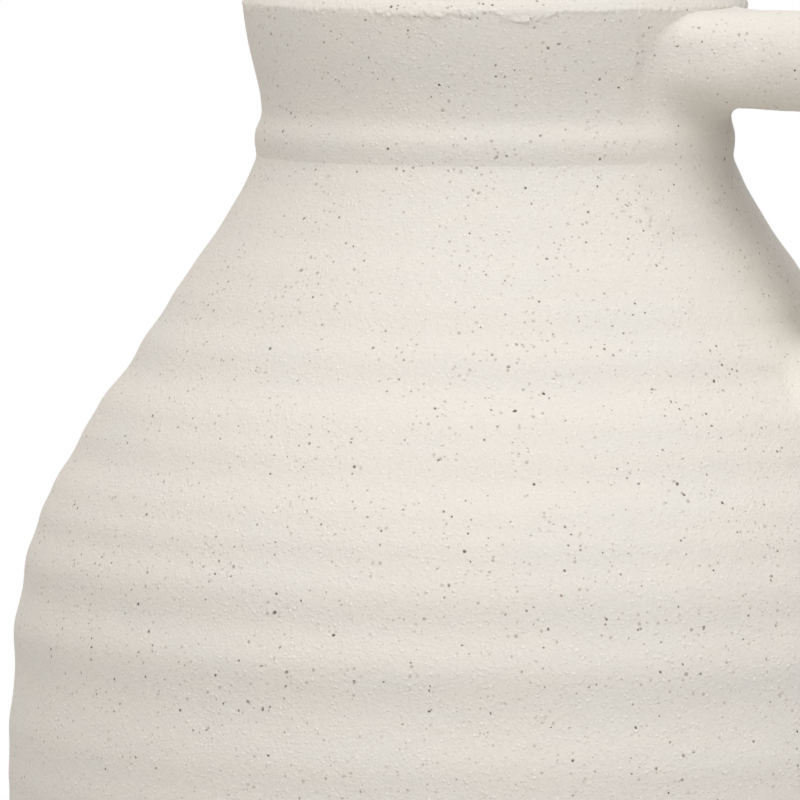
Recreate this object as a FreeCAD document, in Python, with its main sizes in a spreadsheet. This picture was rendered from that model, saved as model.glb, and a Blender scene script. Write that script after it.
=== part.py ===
"""A thrown stoneware jug with one bar handle, in the pieces that its potter forms and lutes together."""
import FreeCAD, Part
import os
import Sketcher

# Millimetres. A radius is measured from the jug's axis and a depth down from the top of the lip.
SIZES = {
    # The vessel
    "jug_height": 312,
    "wall_thickness": 8,
    "belly_radius": 121.75,
    "waist_depth": 161.5,
    "ring_rise": 0.7,
    "seam_depth": 3,
    # The floor and the foot that the jug rests on
    "foot_radius": 76,
    "foot_flare": 7.14,
    "foot_width": 12,
    "foot_rounding": 2,
    "foot_recess": 1.5,
    "floor_thickness": 10,
    # The neck, its bead and its lip
    "neck_wall": 7,
    "neck_depth": 40.6,
    "neck_root_step": 1.1,
    "neck_root_round": 100,
    "bead_height": 7.8,
    "bead_round": 9.5,
    "bead_seat": 1.6,
    "throat_radius": 58.6,
    "throat_height": 8.4,
    "throat_round": 26,
    "lip_flare": 4.5,
    "lip_height": 5.6,
    "lip_rounding": 2.5,
    "lip_overhang": 0.4,
    # The handle: a bar that runs out level, turns down and meets the shoulder
    "handle_thickness": 24.5,
    "handle_widening": 2.5,
    "handle_drop": 3.3,
    "handle_turn": 22,
    "handle_inset": 0.5,
    # The clay pressed round the handle's two ends
    "flare_spread": 8.5,
    "flare_length": 22,
    "flare_edge": 0.6,
    "smear_width": 32,
    "smear_length": 46,
    "smear_rise": 6.6,
    "wad_side": 9.5,
    "wad_end": 9,
    "wad_rise": 6,
    "wad_sink": 4,
}

# Where the potter's finger left a groove between two throwing rings: the share of the section's height,
# from its top, and the share of the way from its smallest to its largest radius.
SHOULDER_RING_SHARES = [
    (0.167, 0.168),
    (0.248, 0.283),
    (0.331, 0.390),
    (0.434, 0.517),
    (0.536, 0.654),
    (0.614, 0.738),
    (0.702, 0.833),
    (0.771, 0.885),
    (0.899, 0.941),
    (1.000, 0.976),
]
BELLY_RING_SHARES = [
    (0.053, 0.957),
    (0.267, 0.994),
    (0.381, 0.960),
    (0.495, 0.874),
    (0.601, 0.755),
    (0.708, 0.601),
    (0.808, 0.424),
    (0.900, 0.233),
    (1.000, 0.000),
]
# Where the handle's centre line enters the shoulder, as the same two shares.
HANDLE_ROOT_SHARE = (0.590, 0.706)
# The luting groove lies between these shares of the wall's width.
SEAM_SHARES = (0.25, 0.75)
# Where the throat's curve begins, the collar has drawn in by this share of all that it draws in.
THROAT_TOP_SHARE = 0.94
# The flare's rings stand at these shares of its length, from the neck out, with these shares of its spread.
FLARE_SHARES = [(0.0, 1.0), (0.55, 0.36), (0.8, 0.10), (1.0, 0.0)]
# The flare climbs this share of the way from the bar's top to the top of the lip.
FLARE_CLIMB_SHARE = 0.805
# The smear's centre lies below the bar's centre line by this share of its length.
SMEAR_DROP_SHARE = 0.37

LEFT = "left"
RIGHT = "right"
ZERO = "0"


def at_depth(depth):
    return f"Sizes.jug_height - ({depth})"


def share_between(start, end, share):
    return f"({start}) + (({end}) - ({start})) * {share}"


# Heights that several pieces share
NECK_FOOT = at_depth("Sizes.neck_depth")
WAIST = at_depth("Sizes.waist_depth")
FLOOR_TOP = "Sizes.floor_thickness"
LIP_FOOT = at_depth("Sizes.lip_height")
BEAD_TOP = at_depth("Sizes.neck_depth - Sizes.bead_height")
THROAT_TOP = at_depth("Sizes.neck_depth - Sizes.bead_height - Sizes.throat_height")

# Radii that several pieces share
LIP_RADIUS = "(Sizes.throat_radius + Sizes.lip_flare)"
NECK_ROOT_RADIUS = "(Sizes.throat_radius + Sizes.neck_root_step)"
FOOT_EDGE_RADIUS = "(Sizes.foot_radius + Sizes.foot_flare)"
COLLAR_TOP_RADIUS = f"{LIP_RADIUS} - Sizes.lip_overhang"
THROAT_TOP_RADIUS = share_between(COLLAR_TOP_RADIUS, "Sizes.throat_radius", THROAT_TOP_SHARE)
NECK_BORE = "Sizes.throat_radius - Sizes.neck_wall"
BEAD_BORE = "Sizes.throat_radius - Sizes.bead_seat"

# The handle's width across the bar, and its centre line
HANDLE_WIDTH = "(Sizes.handle_thickness + Sizes.handle_widening)"
BAR_HEIGHT = at_depth("Sizes.handle_drop + Sizes.handle_thickness / 2")
BAR_START = "Sizes.throat_radius / 2"
BAR_REACH = "(Sizes.belly_radius - Sizes.handle_inset - Sizes.handle_thickness / 2)"
TURN_CENTRE = f"({BAR_REACH} - Sizes.handle_turn)"
TURN_HEIGHT = f"({BAR_HEIGHT} - Sizes.handle_turn)"


def shoulder_radius(share):
    return share_between(NECK_ROOT_RADIUS, "Sizes.belly_radius", share)


def shoulder_height(share):
    return share_between(NECK_FOOT, WAIST, share)


def belly_radius(share):
    return share_between(FOOT_EDGE_RADIUS, "Sizes.belly_radius", share)


def belly_height(share):
    return share_between(WAIST, FLOOR_TOP, share)


ROOT_RADIUS = shoulder_radius(HANDLE_ROOT_SHARE[1])
ROOT_HEIGHT = shoulder_height(HANDLE_ROOT_SHARE[0])
LEG_LEAN = f"atan2({BAR_REACH} - ({ROOT_RADIUS}); {TURN_HEIGHT} - ({ROOT_HEIGHT}))"


def make_sheet(doc):
    sheet = doc.addObject("Spreadsheet::Sheet", "Sizes")
    for row, (name, value) in enumerate(SIZES.items(), start=1):
        sheet.set(f"A{row}", name)
        sheet.set(f"B{row}", str(value))
        sheet.setAlias(f"B{row}", name)
    doc.recompute()
    return sheet


def number(holder, expression):
    value = holder.evalExpression(expression)
    return float(getattr(value, "Value", value))


def arc_through(start, end, radius, side):
    """The arc from start to end that bulges to the given side of the way from one to the other."""
    chord = end - start
    to_left = FreeCAD.Vector(-chord.y, chord.x, 0).normalize()
    bulge = to_left if side == LEFT else to_left * -1
    middle = (start + end) / 2
    centre = middle - bulge * (radius ** 2 - (chord.Length / 2) ** 2) ** 0.5
    return Part.Arc(start, centre + bulge * radius, end)


def draw(sketch, places, closed=True):
    """Edges through places, each (radius, height), with (round, side) after them where an arc follows."""
    spots = [FreeCAD.Vector(number(sketch, place[0]), number(sketch, place[1]), 0) for place in places]
    edges = []
    for index, place in enumerate(places if closed else places[:-1]):
        start = spots[index]
        end = spots[(index + 1) % len(places)]
        if len(place) == 2:
            sketch.addGeometry(Part.LineSegment(start, end), False)
            edges.append((1, 2))
            continue
        round_size, side = place[2:]
        sketch.addGeometry(arc_through(start, end, number(sketch, round_size), side), False)
        # An arc in a sketch always runs anticlockwise, so one that bulges left starts at its far end.
        edges.append((2, 1) if side == LEFT else (1, 2))
        bind(sketch, Sketcher.Constraint("Radius", index, number(sketch, round_size)), round_size)
    for index in range(len(edges) if closed else len(edges) - 1):
        following = (index + 1) % len(edges)
        joint = ("Coincident", index, edges[index][1], following, edges[following][0])
        sketch.addConstraint(Sketcher.Constraint(*joint))
    for index, place in enumerate(places):
        edge, end = (index, 0) if index < len(edges) else (index - 1, 1)
        place_corner(sketch, (edge, edges[edge][end]), place, spots[index])


def place_corner(sketch, corner, place, spot):
    """Tie a corner to the sheet, or to the axis or the ground where it lies on one."""
    for direction, zero_line, expression, value in (
        ("DistanceX", -2, place[0], spot.x),
        ("DistanceY", -1, place[1], spot.y),
    ):
        if expression == ZERO:
            sketch.addConstraint(Sketcher.Constraint("PointOnObject", *corner, zero_line))
        else:
            bind(sketch, Sketcher.Constraint(direction, -1, 1, *corner, value), expression)


def bind(sketch, constraint, expression):
    index = sketch.addConstraint(constraint)
    sketch.setExpression(f"Constraints[{index}]", expression)


def upright_sketch(body):
    """A sketch on the body's own upright plane: its first axis is the radius and its second the height."""
    sketch = body.newObject("Sketcher::SketchObject", f"{body.Name}_outline")
    plane = next(item for item in body.Origin.OriginFeatures if item.Role == "XZ_Plane")
    sketch.AttachmentSupport = (plane, [""])
    sketch.MapMode = "FlatFace"
    return sketch


def turned(doc, name, places):
    """A piece turned on the wheel: its outline goes once round the jug's axis."""
    body = doc.addObject("PartDesign::Body", name)
    sketch = upright_sketch(body)
    draw(sketch, places)
    turning = body.newObject("PartDesign::Revolution", f"{name}_turning")
    turning.Profile = sketch
    turning.ReferenceAxis = (sketch, ["V_Axis"])
    sketch.Visibility = False
    return body


def seam(inner, outer, height):
    """The luting groove across a wall's edge, from the inside out."""
    near, far = SEAM_SHARES
    return [
        (share_between(inner, outer, near), height),
        (share_between(inner, outer, (near + far) / 2), f"{height} - Sizes.seam_depth"),
        (share_between(inner, outer, far), height),
    ]


def ring_round(start, end):
    """The radius of a throwing ring's arc, which stands one ring's rise above the grooves at its ends."""
    across = f"({end[0]}) - ({start[0]})"
    along = f"({end[1]}) - ({start[1]})"
    return f"(({across})^2 + ({along})^2) / (8 * Sizes.ring_rise) + Sizes.ring_rise / 2"


def with_rings(places, side):
    """The same places with a throwing ring after each but the last."""
    rings = [(*start, ring_round(start, end), side) for start, end in zip(places, places[1:])]
    return [*rings, places[-1]]


def moved_in(places):
    """The wall's inner side: the same places one wall further in, from the bottom up."""
    return [(f"{radius} - Sizes.wall_thickness", height) for radius, height in reversed(places)]


# Each outer side runs from the top down.
def lip_side():
    return [
        (f"{LIP_RADIUS} - Sizes.lip_rounding", "Sizes.jug_height", "Sizes.lip_rounding", LEFT),
        (LIP_RADIUS, at_depth("Sizes.lip_rounding")),
        (LIP_RADIUS, f"{LIP_FOOT} + Sizes.lip_overhang"),
    ]


def collar_side():
    return [
        (COLLAR_TOP_RADIUS, LIP_FOOT),
        (THROAT_TOP_RADIUS, THROAT_TOP, "Sizes.throat_round", RIGHT),
    ]


def bead_side():
    return [("Sizes.throat_radius", BEAD_TOP, "Sizes.bead_round", LEFT)]


def neck_root():
    return [(NECK_ROOT_RADIUS, NECK_FOOT, "Sizes.neck_root_round", RIGHT)]


def shoulder_rings():
    return [(shoulder_radius(radius), shoulder_height(height)) for height, radius in SHOULDER_RING_SHARES]


def belly_rings():
    return [(belly_radius(radius), belly_height(height)) for height, radius in BELLY_RING_SHARES]


def foot_side():
    return [
        ("Sizes.foot_radius", "Sizes.foot_rounding", "Sizes.foot_rounding", LEFT),
        ("Sizes.foot_radius - Sizes.foot_rounding", ZERO),
    ]


def floor_disc(doc):
    edge_radius = belly_rings()[-1][0]
    recess_radius = "Sizes.foot_radius - Sizes.foot_rounding - Sizes.foot_width"
    places = [(ZERO, FLOOR_TOP)]
    places += seam(f"{edge_radius} - Sizes.wall_thickness", edge_radius, FLOOR_TOP)
    places += [(edge_radius, FLOOR_TOP)]
    places += foot_side()
    places += [(recess_radius, ZERO)]
    places += [(f"{recess_radius} - Sizes.foot_recess", "Sizes.foot_recess")]
    places += [(ZERO, "Sizes.foot_recess")]
    return turned(doc, "floor_disc", places)


def lower_wall(doc):
    top = shoulder_rings()[-1]
    rings = [top] + belly_rings()
    inside = moved_in(rings)
    bottom = rings[-1]
    places = with_rings(rings, LEFT)
    places += reversed(seam(inside[0][0], bottom[0], FLOOR_TOP))
    places += with_rings(inside, RIGHT)
    places += seam(inside[-1][0], top[0], WAIST)
    return turned(doc, "lower_wall", places)


def shoulder_wall(doc):
    rings = shoulder_rings()
    inside = moved_in(rings)
    bottom = rings[-1]
    places = [*neck_root(), *with_rings(rings, LEFT)]
    places += reversed(seam(inside[0][0], bottom[0], WAIST))
    places += with_rings(inside, RIGHT)
    places += [(NECK_BORE, NECK_FOOT)]
    places += seam(NECK_BORE, BEAD_BORE, NECK_FOOT)
    return turned(doc, "shoulder_wall", places)


def neck_collar(doc):
    top_bore = f"{COLLAR_TOP_RADIUS} - Sizes.neck_wall"
    places = [*collar_side(), ("Sizes.throat_radius", BEAD_TOP)]
    places += [(BEAD_BORE, BEAD_TOP), (BEAD_BORE, NECK_FOOT)]
    places += reversed(seam(NECK_BORE, BEAD_BORE, NECK_FOOT))
    places += [(NECK_BORE, NECK_FOOT), (NECK_BORE, BEAD_TOP), (top_bore, LIP_FOOT)]
    places += seam(top_bore, COLLAR_TOP_RADIUS, LIP_FOOT)
    return turned(doc, "neck_collar", places)


def neck_bead(doc):
    places = [*bead_side(), (NECK_ROOT_RADIUS, NECK_FOOT)]
    places += [(BEAD_BORE, NECK_FOOT), (BEAD_BORE, BEAD_TOP)]
    return turned(doc, "neck_bead", places)


def lip_coil(doc):
    bore = f"{COLLAR_TOP_RADIUS} - Sizes.neck_wall"
    places = [*lip_side(), (COLLAR_TOP_RADIUS, LIP_FOOT)]
    places += reversed(seam(bore, COLLAR_TOP_RADIUS, LIP_FOOT))
    places += [(bore, LIP_FOOT)]
    places += [(bore, at_depth("Sizes.lip_rounding"), "Sizes.lip_rounding", LEFT)]
    places += [(f"{bore} + Sizes.lip_rounding", "Sizes.jug_height")]
    return turned(doc, "lip_coil", places)


def outer_form(doc):
    """The whole vessel as if it were full: what the handle and its clay are cut to fit."""
    places = [(ZERO, "Sizes.jug_height")]
    places += lip_side() + collar_side() + bead_side() + neck_root()
    places += with_rings(shoulder_rings() + belly_rings(), LEFT)
    places += foot_side()
    places += [(ZERO, ZERO)]
    return turned(doc, "outer_form", places)


def oval(doc, name, half_width, half_height, radius):
    """An oval across the level bar at a radius from the jug's axis, with its longer way along Y."""
    ring = doc.addObject("Part::Ellipse", name)
    along_y = FreeCAD.Rotation(FreeCAD.Vector(0, 0, 1), 90)
    facing_out = FreeCAD.Rotation(FreeCAD.Vector(0, 1, 0), 90)
    ring.Placement = FreeCAD.Placement(FreeCAD.Vector(), facing_out * along_y)
    ring.setExpression("MajorRadius", half_width)
    ring.setExpression("MinorRadius", half_height)
    ring.setExpression(".Placement.Base.x", radius)
    ring.setExpression(".Placement.Base.z", BAR_HEIGHT)
    return ring


def bar_path(doc):
    """The handle's centre line: level, round a bend, then down through the shoulder's surface."""
    bend_end_radius = f"{TURN_CENTRE} + Sizes.handle_turn * cos({LEG_LEAN})"
    bend_end_height = f"{TURN_HEIGHT} - Sizes.handle_turn * sin({LEG_LEAN})"
    leg_end_radius = f"{bend_end_radius} - ({bend_end_height} - ({WAIST})) * tan({LEG_LEAN})"
    body = doc.addObject("PartDesign::Body", "bar_path")
    sketch = upright_sketch(body)
    draw(sketch, [
        (BAR_START, BAR_HEIGHT),
        (TURN_CENTRE, BAR_HEIGHT, "Sizes.handle_turn", LEFT),
        (bend_end_radius, bend_end_height),
        (leg_end_radius, WAIST),
    ], closed=False)
    return sketch


def whole_bar(doc):
    section = oval(doc, "bar_section", f"{HANDLE_WIDTH} / 2", "Sizes.handle_thickness / 2", BAR_START)
    bar = doc.addObject("Part::Sweep", "whole_bar")
    bar.Sections = [section]
    bar.Spine = (bar_path(doc), ["Edge1", "Edge2", "Edge3"])
    bar.Solid = True
    return bar


def cut(doc, name, base, tool):
    piece = doc.addObject("Part::Cut", name)
    piece.Base = base
    piece.Tool = tool
    return piece


def root_flare(doc):
    """Clay drawn out along the bar's upper end, widest inside the neck."""
    rings = []
    for index, (along, spread) in enumerate(FLARE_SHARES):
        grown = f"(Sizes.flare_edge + Sizes.flare_spread * {spread})"
        climb = f"{grown} / (Sizes.flare_edge + Sizes.flare_spread)"
        half_width = f"{HANDLE_WIDTH} / 2 + {grown}"
        half_height = f"Sizes.handle_thickness / 2 + Sizes.handle_drop * {FLARE_CLIMB_SHARE} * {climb}"
        radius = f"{NECK_BORE} + Sizes.flare_length * {along}"
        rings.append(oval(doc, f"flare_ring_{index}", half_width, half_height, radius))
    flare = doc.addObject("Part::Loft", "root_flare")
    flare.Sections = rings
    flare.Solid = True
    return flare


def lens(doc, name, thickness, half_width, half_length):
    """A flat oval lump of clay, with its thickness along X, its width along Y and its length along Z."""
    lump = doc.addObject("Part::Ellipsoid", name)
    lump.Angle1 = -90
    lump.Angle2 = 90
    lump.Angle3 = 360
    lump.setExpression("Radius2", thickness)
    lump.setExpression("Radius3", half_width)
    lump.setExpression("Radius1", half_length)
    return lump


def upper_handle_wad(doc, vessel, bar):
    smear = lens(doc, "root_smear", "Sizes.smear_rise", "Sizes.smear_width / 2", "Sizes.smear_length / 2")
    smear.setExpression(".Placement.Base.x", "Sizes.throat_radius - Sizes.bead_seat")
    smear.setExpression(".Placement.Base.z", f"{BAR_HEIGHT} - Sizes.smear_length * {SMEAR_DROP_SHARE}")
    clay = doc.addObject("Part::Fuse", "upper_clay")
    clay.Base = root_flare(doc)
    clay.Tool = smear
    outside = cut(doc, "upper_clay_outside", clay, vessel)
    return cut(doc, "upper_handle_wad", outside, bar)


def lower_handle_wad(doc, vessel, bar):
    above, below = SHOULDER_RING_SHARES[4], SHOULDER_RING_SHARES[6]
    widening = f"({shoulder_radius(below[1])}) - ({shoulder_radius(above[1])})"
    falling = f"({shoulder_height(above[0])}) - ({shoulder_height(below[0])})"
    slope = f"atan2({widening}; {falling})"
    thickness = "Sizes.wad_rise + Sizes.wad_sink"
    half_width = f"{HANDLE_WIDTH} / 2 + Sizes.wad_side"
    # The bar crosses the shoulder's slope askew, so its mark there is longer than the bar is thick.
    half_length = f"Sizes.handle_thickness / (2 * sin({slope} + {LEG_LEAN})) + Sizes.wad_end"
    lump = lens(doc, "lower_clay", thickness, half_width, half_length)
    # Any turn but none keeps the axis that the slope's angle then turns the lump about.
    lump.Placement = FreeCAD.Placement(FreeCAD.Vector(), FreeCAD.Rotation(FreeCAD.Vector(0, -1, 0), 1))
    lump.setExpression(".Placement.Rotation.Angle", slope)
    lump.setExpression(".Placement.Base.x", f"{ROOT_RADIUS} - Sizes.wad_sink * cos({slope})")
    lump.setExpression(".Placement.Base.z", f"{ROOT_HEIGHT} - Sizes.wad_sink * sin({slope})")
    outside = cut(doc, "lower_clay_outside", lump, vessel)
    return cut(doc, "lower_handle_wad", outside, bar)


def check(doc, pieces):
    for item in doc.Objects:
        if "Invalid" in item.State or "Error" in item.State:
            raise RuntimeError(f"{item.Name} did not build: {item.State}")
    for piece in pieces:
        shape = piece.Shape
        if shape.isNull() or not shape.isValid() or len(shape.Solids) != 1:
            raise RuntimeError(f"{piece.Label} is not one sound solid")


def build():
    doc = FreeCAD.newDocument("jug")
    make_sheet(doc)
    vessel = outer_form(doc)
    bar = whole_bar(doc)
    turned_makers = (floor_disc, lower_wall, shoulder_wall, neck_collar, neck_bead, lip_coil)
    pieces = [maker(doc) for maker in turned_makers]
    pieces.append(cut(doc, "handle", bar, vessel))
    pieces.append(upper_handle_wad(doc, vessel, bar))
    pieces.append(lower_handle_wad(doc, vessel, bar))
    doc.recompute()
    check(doc, pieces)
    os.makedirs("parts", exist_ok=True)
    for piece in pieces:
        piece.Shape.exportStep(f"parts/{piece.Label}.step")


build()
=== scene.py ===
"""The looks of a thrown stoneware jug with one bar handle, under a sandy speckled slip."""

import math

import bmesh
import bpy
import numpy as np
from mathutils import Matrix, Vector


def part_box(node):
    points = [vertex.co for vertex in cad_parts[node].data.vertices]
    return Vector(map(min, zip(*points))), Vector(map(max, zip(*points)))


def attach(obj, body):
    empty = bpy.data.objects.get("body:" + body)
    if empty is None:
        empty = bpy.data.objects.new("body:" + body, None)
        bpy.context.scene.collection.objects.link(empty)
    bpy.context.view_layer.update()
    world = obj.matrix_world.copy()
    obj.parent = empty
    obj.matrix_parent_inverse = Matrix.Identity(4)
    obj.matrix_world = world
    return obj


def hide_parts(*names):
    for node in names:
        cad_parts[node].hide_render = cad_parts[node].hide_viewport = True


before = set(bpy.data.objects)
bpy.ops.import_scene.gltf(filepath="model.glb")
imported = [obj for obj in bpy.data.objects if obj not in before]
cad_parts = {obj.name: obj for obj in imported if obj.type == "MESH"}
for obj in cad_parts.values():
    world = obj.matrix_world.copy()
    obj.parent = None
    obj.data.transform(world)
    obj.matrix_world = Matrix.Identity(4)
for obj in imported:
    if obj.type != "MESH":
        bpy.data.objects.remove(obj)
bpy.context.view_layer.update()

MM = 0.001
FULL_TURN = 2 * math.pi

# Heights and radii that the pieces share, read from the frame
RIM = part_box("lip_coil")[1].z
LIP_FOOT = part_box("neck_collar")[1].z
BEAD_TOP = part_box("neck_bead")[1].z
NECK_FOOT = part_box("neck_bead")[0].z
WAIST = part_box("lower_wall")[1].z
FLOOR_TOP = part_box("floor_disc")[1].z
LIP_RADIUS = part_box("lip_coil")[1].x
BELLY_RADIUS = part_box("lower_wall")[1].x
FLOOR_EDGE_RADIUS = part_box("floor_disc")[1].x

# The vessel's own sizes
THROAT_RADIUS = 58.3 * MM
NECK_ROOT_RADIUS = 59.7 * MM
NECK_WALL = 7 * MM
WALL = 8 * MM
SEAM_DEPTH = 3 * MM
FOOT_RADIUS = 76 * MM
FOOT_WIDTH = 12 * MM
FOOT_ROUNDING = 2 * MM
FOOT_RECESS = 1.5 * MM

# The outer side, from the top of each section down: the share of the section's height and the share of the
# way from its small radius to its large one. Grooves and crests of the throwing rings take turns.
NECK_SHARES = [
    (0.000, 0.99), (0.095, 0.97), (0.123, 0.94), (0.148, 0.91), (0.172, 0.88), (0.197, 0.85),
    (0.296, 0.70), (0.443, 0.42), (0.591, 0.13), (0.680, 0.02), (0.739, 0.00), (0.788, 0.11),
    (0.837, 0.29), (0.897, 0.36), (0.951, 0.33), (1.000, 0.28),
]
SHOULDER_SHARES = [
    (0.028, 0.018), (0.061, 0.047), (0.111, 0.103), (0.167, 0.169), (0.217, 0.239), (0.250, 0.281),
    (0.285, 0.328), (0.333, 0.383), (0.378, 0.447), (0.436, 0.508), (0.502, 0.613), (0.536, 0.651),
    (0.564, 0.685), (0.615, 0.733), (0.673, 0.807), (0.702, 0.833), (0.731, 0.861), (0.771, 0.884),
    (0.822, 0.922), (0.899, 0.942), (0.975, 0.976), (1.000, 0.977),
]
BELLY_SHARES = [
    (0.025, 0.958), (0.053, 0.957), (0.096, 0.971), (0.153, 0.998), (0.203, 0.996), (0.238, 1.000),
    (0.267, 0.996), (0.324, 0.994), (0.381, 0.960), (0.438, 0.937), (0.495, 0.874), (0.552, 0.829),
    (0.601, 0.755), (0.658, 0.694), (0.708, 0.601), (0.758, 0.526), (0.808, 0.424), (0.854, 0.346),
    (0.900, 0.233), (0.950, 0.133), (1.000, 0.000),
]

# The camera faces the -Y side, turned somewhat towards the handle, from a little above the rim.
VIEW_AZIMUTH = math.radians(28)
VIEW_DISTANCE = 2.67
VIEW_RISE = 87 * MM
VIEW_CENTRE_DEPTH = 102 * MM
VIEW_CENTRE_LEFT = 23.67 * MM
VIEW_LENS = 480
SENSOR_WIDTH = 36
FARTHEST_SEEN = 100
TOWARD_VIEW = Vector((math.sin(VIEW_AZIMUTH), -math.cos(VIEW_AZIMUTH), 0))
RIGHT_OF_VIEW = Vector((math.cos(VIEW_AZIMUTH), math.sin(VIEW_AZIMUTH), 0))
FRONT_ANGLE = math.atan2(TOWARD_VIEW.y, TOWARD_VIEW.x)


# Curves and fields


def smooth_step(low, high, value):
    share = np.clip((value - low) / (high - low), 0, 1)
    return share * share * (3 - 2 * share)


def smooth_line(places, at):
    """Heights on the smoothest line through places, which are (position, height) in rising order."""
    # The usual equations of a natural cubic spline
    where, height = np.array(places).T
    gaps = np.diff(where)
    slopes = np.diff(height) / gaps
    count = len(where)
    system = np.eye(count)
    pull = np.zeros(count)
    for index in range(1, count - 1):
        before, after = gaps[index - 1], gaps[index]
        system[index, index - 1:index + 2] = before, 2 * (before + after), after
        pull[index] = 6 * (slopes[index] - slopes[index - 1])
    bend = np.linalg.solve(system, pull)
    left = np.clip(np.searchsorted(where, at) - 1, 0, count - 2)
    gap = gaps[left]
    ahead = where[left + 1] - at
    behind = at - where[left]
    curve = (bend[left] * ahead ** 3 + bend[left + 1] * behind ** 3) / (6 * gap)
    line_left = (height[left] / gap - bend[left] * gap / 6) * ahead
    line_right = (height[left + 1] / gap - bend[left + 1] * gap / 6) * behind
    return curve + line_left + line_right


RIPPLE_WAVES = 14
RIPPLE_SPREAD = (0.6, 1.5)


def ripple(points, size, seed):
    """A soft unevenness, mostly from -1 to 1, about one size from crest to crest."""
    random = np.random.RandomState(seed)
    ways = random.normal(size=(RIPPLE_WAVES, 3))
    spread = random.uniform(*RIPPLE_SPREAD, (RIPPLE_WAVES, 1))
    ways *= FULL_TURN / size * spread / np.linalg.norm(ways, axis=1)[:, None]
    phases = random.uniform(0, FULL_TURN, RIPPLE_WAVES)
    return np.sin(points @ ways.T + phases).sum(1) / math.sqrt(RIPPLE_WAVES)


def section_places(top, bottom, small, large, shares):
    return [(top + (bottom - top) * down, small + (large - small) * out) for down, out in shares]


def outer_places():
    places = section_places(RIM, NECK_FOOT, THROAT_RADIUS, LIP_RADIUS, NECK_SHARES)
    places += section_places(NECK_FOOT, WAIST, NECK_ROOT_RADIUS, BELLY_RADIUS, SHOULDER_SHARES)
    places += section_places(WAIST, FLOOR_TOP, FLOOR_EDGE_RADIUS, BELLY_RADIUS, BELLY_SHARES)
    return places[::-1]


def blurred(values, step, reach):
    """The same values, each the mean of those around it, so that narrow rings fade away."""
    # Beyond three reaches the weights are next to nothing.
    count = int(3 * reach / step)
    weights = np.exp(-0.5 * (np.arange(-count, count + 1) * step / reach) ** 2)
    # The line goes on straight past both ends.
    before = values[0] - (values[1] - values[0]) * np.arange(count, 0, -1)
    after = values[-1] + (values[-1] - values[-2]) * np.arange(1, count + 1)
    return np.convolve(np.concatenate([before, values, after]), weights / weights.sum(), "valid")


# The outer side, read off at even levels, and split into its trend and the rings' relief on it
LEVEL_STEP = 0.1 * MM
RING_REACH = 7 * MM
LEVELS = np.arange(FLOOR_TOP, RIM + LEVEL_STEP, LEVEL_STEP)
OUTER = smooth_line(outer_places(), LEVELS)
TREND = blurred(OUTER, LEVEL_STEP, RING_REACH)
RELIEF = OUTER - TREND
LEAN_COSINE = 1 / np.sqrt(1 + np.gradient(OUTER, LEVEL_STEP) ** 2)

# How the rings stray round the jug, on the shoulder and below. They wander up and down in two waves, each
# with its share, its number of crests in a turn and its start. The twists are lengths down the jug.
RING_WANDER = 0.7 * MM
WANDER_WAVES = [(0.6, 1, 0.4), (0.4, 2, -1.1)]
RING_FADE, FADE_TWIST = 0.25, 17 * MM
SWAY, SWAY_TWIST = 0.18 * MM, 60 * MM
STRAY_DEPTHS = (44 * MM, 70 * MM)
WIDE_DENTS, WIDE_DENT_SIZE = 0.10 * MM, 34 * MM
SMALL_DENTS, SMALL_DENT_SIZE = 0.035 * MM, 9 * MM

# Each soft unevenness has a seed of its own.
WIDE_SEED, SMALL_SEED, INNER_SEED, CRUMB_SEED, LIP_TOP_SEED, BAR_SEED, GRAIN_SEED, SOFT_SEED = range(3, 11)


def on_circle(radii, heights, angles):
    return np.stack([radii * np.cos(angles), radii * np.sin(angles), heights], axis=1)


def vessel_radius(heights, angles):
    """The outer side's radius, with its rings, dents and sway."""
    turn = angles - FRONT_ANGLE
    stray = smooth_step(*STRAY_DEPTHS, RIM - heights)
    waves = sum(share * np.sin(count * turn + start) for share, count, start in WANDER_WAVES)
    wander = RING_WANDER * stray * waves
    strength = 1 + RING_FADE * stray * np.sin(2 * turn + heights / FADE_TWIST) * np.cos(turn)
    trend = np.interp(heights, LEVELS, TREND)
    radii = trend + strength * np.interp(heights + wander, LEVELS, RELIEF)
    places = on_circle(trend, heights, angles)
    radii += SWAY * stray * np.cos(2 * turn + heights / SWAY_TWIST)
    radii += WIDE_DENTS * ripple(places, WIDE_DENT_SIZE, WIDE_SEED)
    return radii + SMALL_DENTS * ripple(places, SMALL_DENT_SIZE, SMALL_SEED)


# The inner side: finger rings that climb as one spiral, and a wall that thins just under the neck
THINNING = 3 * WALL
INNER_RING_GAP = 11 * MM
INNER_RING_RISE = 0.35 * MM
INNER_DENT_SHARE = 0.3


def inner_radius(heights, angles):
    neck_share = smooth_step(NECK_FOOT - THINNING, NECK_FOOT, heights)
    wall = WALL + (NECK_WALL - WALL) * neck_share
    climb = heights / INNER_RING_GAP * FULL_TURN + angles
    places = on_circle(np.full_like(heights, THROAT_RADIUS), heights, angles)
    dents = INNER_DENT_SHARE * ripple(places, WIDE_DENT_SIZE, INNER_SEED)
    rings = INNER_RING_RISE * (np.sin(climb) + dents)
    return np.interp(heights, LEVELS, TREND) - wall + rings


# Turned pieces

TURN_STEPS = 480
TURN_DOUBLINGS = 4
OUTER_ROW = 1.25 * MM
INNER_ROW = 3.2 * MM
SHARP_ANGLE = math.radians(45)
SAME_PLACE = LEVEL_STEP / 10


def rows(start, end, step):
    """Evenly spaced positions from start to end."""
    return np.linspace(start, end, max(2, int(round(abs(end - start) / step)) + 1))


def add_object(name, shape, material):
    """Turn a bmesh into an object of one material."""
    mesh = bpy.data.meshes.new(name)
    shape.to_mesh(mesh)
    shape.free()
    mesh.materials.append(material)
    piece = bpy.data.objects.new(name, mesh)
    bpy.context.scene.collection.objects.link(piece)
    return piece


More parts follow.
